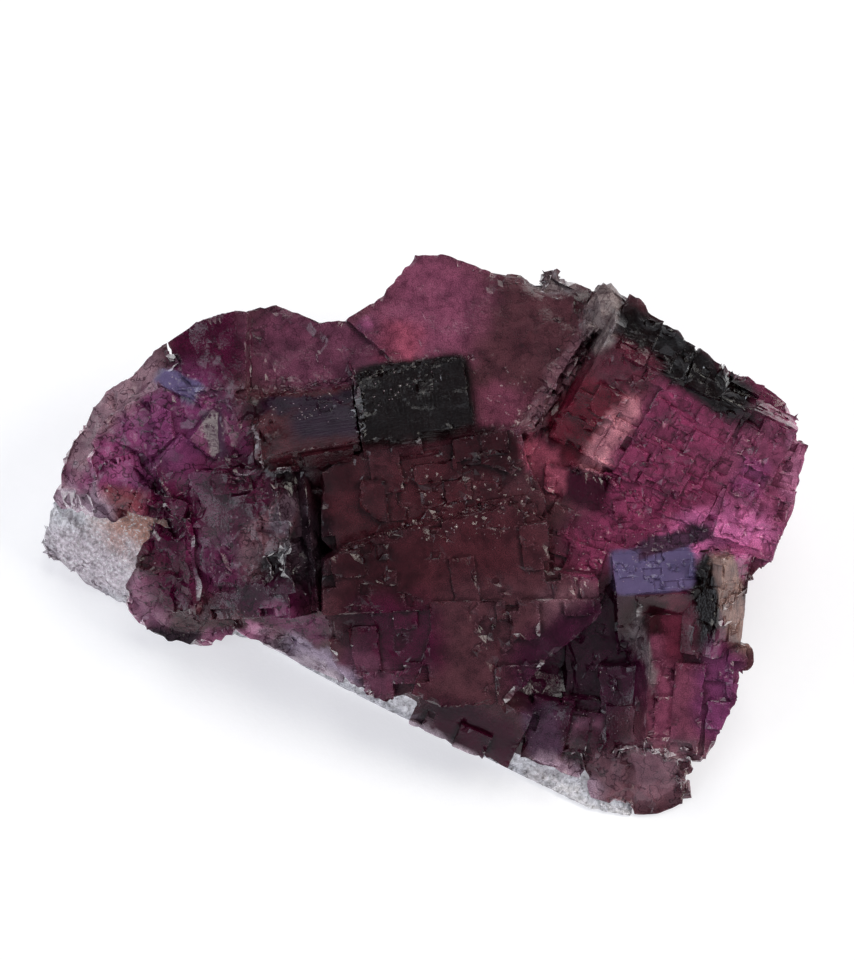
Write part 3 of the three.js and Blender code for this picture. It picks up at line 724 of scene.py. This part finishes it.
def bends(vert):
    """How sharp the ridge and the hollow through a point are, where 1 is a right angle."""
    angles = [e.calc_face_angle_signed(0) for e in vert.link_edges if len(e.link_faces) == 2]
    sharp = max(max(angles, default=0), 0) / RIGHT_ANGLE
    hollow = max(-min(angles, default=0), 0) / RIGHT_ANGLE
    return sharp, hollow


def lift(q, share, sharp):
    """How far a point moves along its normal: broken faces in planes, and sharp edges nicked."""
    broken = BROAD_DEPTH * BROAD.height(q) + SMALL_DEPTH * SMALL.height(q) - BREAK_SINK
    nick = smoothstep(0.35, 0.9, sharp) * max(noise.noise(q * 1.1) + 0.15, 0) * NICK_DEPTH
    return share * min(max(broken, DEEPEST_BREAK), HIGHEST_BREAK) - (1 - share) * nick


def stray(q, normal, sharp):
    """How far a broken point moves across its normal, less on a sharp edge."""
    move = noise.noise_vector(q * 0.55) * STRAY_BROAD + noise.noise_vector(q * 1.7) * STRAY_FINE
    move -= normal * move.dot(normal)
    move *= 1 - 0.7 * smoothstep(0.3, 0.8, sharp)
    return move


def add_fractures(piece):
    """Refines the mesh, keeps each face's grain, breaks the fractured faces and nicks the sharp edges."""
    mesh = piece.data
    work = bmesh.new()
    work.from_mesh(mesh)
    join_faces(work)
    write_grain(work)
    refine(work)
    work.normal_update()
    wear_and_hollow_shade = work.verts.layers.float.new("wear_and_hollow_shade")
    fracture = work.verts.layers.float.new("fracture")
    low, high = (Vector(v) for v in cad_box)
    moved = []
    for vert in work.verts:
        q = vert.co / MM
        off_floor = smoothstep(0, 1.5, q.z)
        share = fracture_share(TO_CRUST @ vert.co / MM, vert.normal) * off_floor
        sharp, hollow = bends(vert)
        # positive on sharp edges, where they frost; negative in hollows, which get painted shade
        vert[wear_and_hollow_shade] = sharp - hollow if hollow > sharp else sharp
        vert[fracture] = share
        move = vert.normal * lift(q, share, sharp) + stray(q, vert.normal, sharp) * share
        moved.append(vert.co + move * MM)
    for vert, co in zip(work.verts, moved):
        vert.co = Vector(min(max(co[i], low[i]), high[i]) for i in range(3))
    work.to_mesh(mesh)
    work.free()
    print(piece.name, len(mesh.polygons), "faces")


# ---------------------------------------------------------------- paint and shading

CREASE = math.radians(13)  # edges bent by more than this show as edges


def keep_value(mesh, name, kind, values):
    """Writes one amount or one colour for each point of a mesh."""
    attribute = mesh.attributes.new(name, kind, "POINT")
    field = "color" if kind == "FLOAT_COLOR" else "value"
    attribute.data.foreach_set(field, np.asarray(values, dtype=np.float32).ravel())


def wander_at(p):
    """Which way, and how far, the edges of the zones stray at a crust point."""
    p = Vector(p)
    return (noise.noise_vector(p * 0.35) + 0.4 * noise.noise_vector(p * 1.3))[:2]


def paint(piece, ground, zones):
    """Writes the crust's colour, with the painted shade, light and reflections of some zones, and where it
    is cracked, striated, calm and sparkling, on the mesh.
    """
    mesh = piece.data
    points = np.array([(TO_CRUST @ v.co / MM)[:] for v in mesh.vertices])
    wander = np.array([wander_at(p) for p in points])
    coloured = [(*zone[:5], COLOURS[zone[5]]) for zone in zones]
    colour = painted(points, wander, COLOURS[ground], coloured)
    keep_value(mesh, "tint", "FLOAT_COLOR", np.hstack([colour, np.ones((len(points), 1))]))
    for name, places in TEXTURE_ZONES.items():
        keep_value(mesh, name, "FLOAT", painted(points, wander, (0.0,), places))


def finish_shading(piece):
    """Shades the mesh smoothly up to the creases."""
    mesh = piece.data
    work = bmesh.new()
    work.from_mesh(mesh)
    work.normal_update()
    for face in work.faces:
        face.smooth = True
    for edge in work.edges:
        edge.smooth = len(edge.link_faces) == 2 and edge.calc_face_angle(0) < CREASE
    work.to_mesh(mesh)
    work.free()


# ---------------------------------------------------------------- materials

FLUORITE_IOR = 1.434
TRANSMISSION = 0.3


class Nodes:
    """Short names for building a node tree."""

    def __init__(self, owner):
        owner.use_nodes = True
        self.tree = owner.node_tree
        self.tree.nodes.clear()

    def put(self, node, key, value):
        if isinstance(value, bpy.types.NodeSocket):
            self.tree.links.new(value, node.inputs[key])
        else:
            node.inputs[key].default_value = value

    def new(self, kind, inputs=(), **settings):
        node = self.tree.nodes.new(kind)
        for key, value in settings.items():
            setattr(node, key, value)
        for key, value in dict(inputs).items():
            self.put(node, key, value)
        return node

    def math(self, operation, *values):
        return self.new("ShaderNodeMath", dict(enumerate(values)), operation=operation).outputs[0]

    def product(self, first, *others):
        for other in others:
            first = self.math("MULTIPLY", first, other)
        return first

    def vector(self, operation, *values):
        node = self.new("ShaderNodeVectorMath", dict(enumerate(values)), operation=operation)
        return node.outputs["Vector"]

    def ramp(self, value, low, high, to_low=0.0, to_high=1.0):
        ends = {"Value": value, "From Min": low, "From Max": high, "To Min": to_low, "To Max": to_high}
        return self.new("ShaderNodeMapRange", ends, interpolation_type="SMOOTHSTEP").outputs["Result"]

    def mix(self, share, a, b, blend="MIX"):
        node = self.new("ShaderNodeMix", data_type="RGBA", blend_type=blend, clamp_factor=True)
        self.put(node, 0, share)
        for key, value in ((6, a), (7, b)):
            self.put(node, key, value if isinstance(value, bpy.types.NodeSocket) else (*value[:3], 1))
        return node.outputs[2]

    def shade(self, colour, factors):
        """A colour made lighter or darker."""
        return self.mix(1.0, colour, factors, "MULTIPLY")

    def noise(self, vector, scale, detail=2.0, roughness=0.5, dimensions="3D"):
        values = {"Vector": vector, "Scale": scale, "Detail": detail, "Roughness": roughness}
        return self.new("ShaderNodeTexNoise", values, noise_dimensions=dimensions)

    def level(self, *settings):
        """A noise's height alone."""
        return self.noise(*settings).outputs["Fac"]

    def cells(self, vector, scale, dimensions="2D", **settings):
        values = {"Vector": vector, "Scale": scale}
        return self.new("ShaderNodeTexVoronoi", values, voronoi_dimensions=dimensions, **settings)

    def kept(self, name, output="Fac"):
        return self.new("ShaderNodeAttribute", attribute_name=name).outputs[output]

    def place(self):
        """Where a point lies on the piece, in mm."""
        metres = self.new("ShaderNodeTexCoord").outputs["Object"]
        return self.vector("MULTIPLY", metres, (1 / MM, 1 / MM, 1 / MM))


def leaning_normal(n, cells, share, bump):
    """The bumped normal, tipped a different way in each cell of a Voronoi texture."""
    lean = n.vector("SUBTRACT", cells.outputs["Color"], (0.5, 0.5, 0.5))
    scaled = n.new("ShaderNodeVectorMath", {0: lean, "Scale": share}, operation="SCALE").outputs["Vector"]
    return n.vector("NORMALIZE", n.vector("ADD", bump, scaled))


def veils_and_grit(n, tint, cloud, grain):
    """The tint with cloudy veils and fine grit."""
    thin, thick = n.shade(tint, (1.25, 1.22, 1.2)), n.shade(tint, (0.66, 0.6, 0.64))
    colour = n.mix(n.ramp(cloud, 0.32, 0.7), thin, thick)
    grit = n.level(grain, 7.5, 1, 0.7, "2D")
    dark, light = n.shade(colour, (0.74, 0.7, 0.72)), n.shade(colour, (1.28, 1.26, 1.27))
    return n.mix(n.ramp(grit, 0.34, 0.66), dark, light)


def wavy_cracks(n, colour, place):
    """Dark wavy lines, strongest where the stone is broken."""
    wave = n.level(place, 0.5, 2, 0.6)
    crack = n.ramp(n.math("ABSOLUTE", n.math("SUBTRACT", wave, 0.5)), 0.004, 0.028, 1, 0)
    strength = n.math("ADD", n.product(n.kept("fracture"), 0.75), 0.2)
    return n.mix(n.product(crack, strength), colour, n.shade(colour, (0.24, 0.14, 0.2)))


def cleavage_cracks(n, colour, place, cloud, grain):
    """Fine cracks square to each other along the cleavage, patchy except where the zones ask for them."""
    jitter = n.vector("SUBTRACT", n.noise(place, 1.6, 0).outputs["Color"], (0.5, 0.5, 0.5))
    broken = n.vector("ADD", grain, n.vector("MULTIPLY", jitter, (0.5, 0.5, 0.5)))
    nearest, second = (n.cells(broken, 0.5, feature=f, distance="CHEBYCHEV") for f in ("F1", "F2"))
    for cells in (nearest, second):
        cells.inputs["Randomness"].default_value = 0.75
    line = n.math("SUBTRACT", second.outputs["Distance"], nearest.outputs["Distance"])
    where = n.math("MAXIMUM", n.kept("mosaic"), n.ramp(cloud, 0.52, 0.66, 0, 0.4))
    gaps = n.ramp(n.level(grain, 0.9, 1, 0.5, "2D"), 0.38, 0.55)
    seam = n.product(n.ramp(line, 0.0, 0.11, 1, 0), where, gaps)
    return n.mix(n.product(seam, 0.85), colour, n.shade(colour, (0.30, 0.16, 0.26)))


def worn_edges_and_hollow_shade(n, colour, tint, wear_and_hollow_shade, frost):
    """Frosted edges, and painted shade that darkens the hollows."""
    pale = n.mix(0.12, n.shade(tint, (2.6, 2.5, 2.6)), srgb(200, 176, 190))
    colour = n.mix(n.product(frost, 0.22), colour, pale)
    # painted shade: darkens the colour in the hollows
    return n.mix(n.ramp(wear_and_hollow_shade, -0.15, -0.7, 0, 0.6), colour, n.shade(colour, (0.35, 0.25, 0.3)))


def purple_material():
    """Purple fluorite: veils, cracks, striations, worn edges with painted shade in the hollows, and chips
    with painted glints over the kept tint.
    """
    material = bpy.data.materials.new("purple_fluorite")
    n = Nodes(material)
    place = n.place()
    grain = n.kept("grain", "Vector")
    tint = n.kept("tint", "Color")
    wear_and_hollow_shade = n.kept("wear_and_hollow_shade")
    striae = n.kept("striae")
    spark = n.kept("spark")

    cloud = n.level(place, 0.45, 2, 0.65)
    colour = veils_and_grit(n, tint, cloud, grain)
    colour = wavy_cracks(n, colour, place)
    colour = cleavage_cracks(n, colour, place, cloud, grain)
    colour = n.mix(n.product(n.kept("calm"), 0.8), colour, tint)

    # striations along the grain
    stretch = n.vector("MULTIPLY", grain, (0.3, 4.0, 1.0))
    stripes = n.level(stretch, 1.0, 2, 0.6, "2D")
    stripe = n.product(n.ramp(stripes, 0.5, 0.68), striae)
    colour = n.mix(n.product(stripe, 0.5), colour, n.shade(colour, (0.4, 0.4, 0.4)))

    fine = n.level(grain, 3.2, 2, 0.6, "2D")
    frost = n.product(n.ramp(wear_and_hollow_shade, 0.3, 0.9), n.ramp(fine, 0.5, 0.68))
    colour = worn_edges_and_hollow_shade(n, colour, tint, wear_and_hollow_shade, frost)

    # small white specks, partly chips and partly painted glints, and flakes that catch the light
    flakes = n.cells(grain, 3.4)
    pick = n.new("ShaderNodeSeparateColor", {"Color": flakes.outputs["Color"]}).outputs["Red"]
    middle = n.ramp(flakes.outputs["Distance"], 0.16, 0.30, 1, 0)
    chip_and_painted_glint = n.product(n.ramp(pick, 0.955, 0.97), middle, spark)
    colour = n.mix(n.product(chip_and_painted_glint, 0.55), colour, srgb(214, 190, 200))
    glint = n.product(n.ramp(pick, 0.86, 0.93), spark)

    height = n.math("ADD", n.product(fine, 0.5), n.product(stripes, striae, 1.2))
    bump = n.new("ShaderNodeBump", {"Strength": 0.6, "Distance": 0.1 * MM, "Height": height}).outputs[0]
    facing = leaning_normal(n, n.cells(grain, 0.6), n.product(n.kept("fracture"), 0.45), bump)
    shader = n.new(
        "ShaderNodeBsdfPrincipled",
        {
            "Base Color": colour,
            "Roughness": n.math("ADD", n.ramp(fine, 0.3, 0.75, 0.10, 0.26), n.product(frost, 0.25)),
            "IOR": FLUORITE_IOR,
            "Specular IOR Level": 0.25,
            "Transmission Weight": TRANSMISSION,
            "Coat Weight": 0.1,
            "Coat Roughness": 0.06,
            "Coat IOR": 1.43,
            "Normal": leaning_normal(n, flakes, n.math("ADD", n.product(glint, 0.8), 0.03), facing),
        },
    )
    inside = n.new("ShaderNodeVolumeAbsorption", {"Color": (0.70, 0.30, 0.52, 1), "Density": 130})
    n.new("ShaderNodeOutputMaterial", {"Surface": shader.outputs[0], "Volume": inside.outputs[0]})
    return material


def clear_material():
    """Colourless fluorite: frosted, with painted white glints and dark pits."""
    material = bpy.data.materials.new("colourless_fluorite")
    n = Nodes(material)
    place = n.place()
    tint = n.kept("tint", "Color")
    fine = n.level(place, 2.2, 3, 0.65)
    light, dark = n.shade(tint, (1.18, 1.18, 1.18)), n.shade(tint, (0.5, 0.5, 0.49))
    colour = n.mix(n.ramp(fine, 0.36, 0.66), light, dark)

    # painted white glints and dark pits
    painted_glints_and_pits = n.level(place, 2.6, 2, 0.7)
    colour = n.mix(n.ramp(painted_glints_and_pits, 0.57, 0.63, 0.0, 0.75), colour, (0.96, 0.96, 0.97))
    colour = n.mix(n.ramp(painted_glints_and_pits, 0.36, 0.43, 0.6, 0.0), colour, (0.16, 0.14, 0.15))

    flakes = n.cells(place, 1.3, "3D")
    height = n.math("ADD", n.product(flakes.outputs["Distance"], 0.5), n.product(fine, 0.6))
    bump = n.new("ShaderNodeBump", {"Strength": 0.7, "Distance": 0.3 * MM, "Height": height}).outputs[0]
    shader = n.new(
        "ShaderNodeBsdfPrincipled",
        {
            "Base Color": colour,
            "Roughness": n.ramp(fine, 0.3, 0.7, 0.12, 0.4),
            "IOR": FLUORITE_IOR,
            "Transmission Weight": TRANSMISSION,
            "Normal": leaning_normal(n, flakes, 0.8, bump),
        },
    )
    inside = n.new("ShaderNodeVolumeAbsorption", {"Color": (0.9, 0.88, 0.9, 1), "Density": 10})
    n.new("ShaderNodeOutputMaterial", {"Surface": shader.outputs[0], "Volume": inside.outputs[0]})
    return material


# ---------------------------------------------------------------- the pieces

STEP_SEED = 7


def dress(piece, ground, zones, material):
    """Breaks a piece's faces, paints it and gives it its material."""
    add_fractures(piece)
    finish_shading(piece)
    paint(piece, ground, zones)
    piece.data.materials.clear()
    piece.data.materials.append(material)


purple = clean_copy("purple_cubes", "purple_crystals")
dice = random.Random(STEP_SEED)
add_steps(purple, plan_steps(purple, dice))
add_steps(purple, plan_ledges(purple, dice))
dress(purple, PURPLE_GROUND, PURPLE_ZONES, purple_material())

base = clean_copy("colourless_base", "colourless_rock")
dress(base, BASE_GROUND, BASE_ZONES, clear_material())

for piece, node, slot in (
    (purple, "purple_cubes", "purple_fluorite"),
    (base, "colourless_base", "colourless_fluorite"),
):
    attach(piece, "root")
    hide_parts(node)


# ---------------------------------------------------------------- floor, camera, room and lights

FLOOR_REACH = 3.0  # in metres, out of the camera's sight

VIEW_ELEVATION = math.radians(70)
VIEW_DISTANCE = 0.42
PICTURE_HEIGHT = 960  # in pixels
PIXELS_PER_MM = 8.4  # at the crust
AIM = Vector((1.6, 7.1, 0))  # crust point at the middle of the picture, in mm
SENSOR = 36

# Name, place and size in metres, power in watts, and colour. Each light aims at the part.
LIGHTS = [
    ("key", (0.75, 0.03, 0.70), 0.5, 5.0, (1.0, 0.96, 0.88)),
    ("top", (0.15, 0.42, 0.90), 0.6, 3.8, (1.0, 0.99, 0.96)),
    ("left", (-0.55, 0.50, 0.66), 0.5, 1.5, (0.90, 0.94, 1.0)),
    ("window", (-0.73, -0.36, 0.59), 0.5, 2.2, (0.84, 0.90, 1.0)),
    ("front", (-0.5, -0.8, 0.5), 1.5, 1.4, (0.90, 0.94, 1.0)),
]


def floor_material():
    """A white board, stippled, that glows a little so that it stays pale."""
    material = bpy.data.materials.new("white_board")
    n = Nodes(material)
    place = n.new("ShaderNodeTexCoord").outputs["Object"]
    stipple = n.level(place, 1000, 2, 0.5)
    bump = n.new("ShaderNodeBump", {"Strength": 0.25, "Distance": 0.1 * MM, "Height": stipple})
    shader = n.new(
        "ShaderNodeBsdfPrincipled",
        {
            "Base Color": n.mix(stipple, (0.46, 0.46, 0.45), (0.51, 0.51, 0.50)),
            "Roughness": 0.7,
            "Normal": bump.outputs[0],
            "Emission Color": (0.95, 0.95, 1.0, 1),
            "Emission Strength": 0.58,
        },
    )
    n.new("ShaderNodeOutputMaterial", {"Surface": shader.outputs[0]})
    return material


def make_floor():
    mesh = bpy.data.meshes.new("floor")
    corners = [(FLOOR_REACH * x, FLOOR_REACH * y, 0) for x, y in SQUARE]
    mesh.from_pydata(corners, [], [(0, 1, 2, 3)])
    floor = bpy.data.objects.new("floor", mesh)
    bpy.context.scene.collection.objects.link(floor)
    mesh.materials.append(floor_material())


def make_camera():
    """Looks down on the crust from the front, as the photo does."""
    data = bpy.data.cameras.new("camera")
    camera = bpy.data.objects.new("camera", data)
    bpy.context.scene.collection.objects.link(camera)
    back = Vector((0, -math.cos(VIEW_ELEVATION), math.sin(VIEW_ELEVATION)))
    camera.location = CRUST @ (AIM * MM) + back * VIEW_DISTANCE
    camera.rotation_euler = (math.pi / 2 - VIEW_ELEVATION, 0, 0)
    data.sensor_width = SENSOR
    data.lens = SENSOR * VIEW_DISTANCE / (PICTURE_HEIGHT / PIXELS_PER_MM * MM)
    data.clip_end = 20
    bpy.context.scene.camera = camera


def make_world():
    """A room, pale low down and dark above, so that faces turned up keep their own colour."""
    world = bpy.data.worlds.new("room")
    bpy.context.scene.world = world
    n = Nodes(world)
    direction = n.new("ShaderNodeTexCoord").outputs["Generated"]
    parts = n.new("ShaderNodeSeparateXYZ", {"Vector": direction}).outputs
    by_height = n.ramp(parts["Z"], 0.16, 0.52, 1.1, 0.22)
    by_side = n.ramp(n.math("ABSOLUTE", parts["X"]), 0.25, 0.7, 1.0, 0.35)
    strength = n.product(by_height, by_side)
    background = n.new("ShaderNodeBackground", {"Color": (0.86, 0.91, 1.0, 1), "Strength": strength})
    n.new("ShaderNodeOutputWorld", {"Surface": background.outputs[0]})


def add_light(name, place, size, power, colour):
    data = bpy.data.lights.new(name, "AREA")
    data.shape = "DISK"
    data.size = size
    data.energy = power
    data.color = colour
    light = bpy.data.objects.new(name, data)
    bpy.context.scene.collection.objects.link(light)
    light.location = place
    light.rotation_euler = (-Vector(place)).to_track_quat("-Z", "Y").to_euler()


make_floor()
make_camera()
make_world()
for light in LIGHTS:
    add_light(*light)
bpy.context.scene.view_settings.view_transform = "Standard"
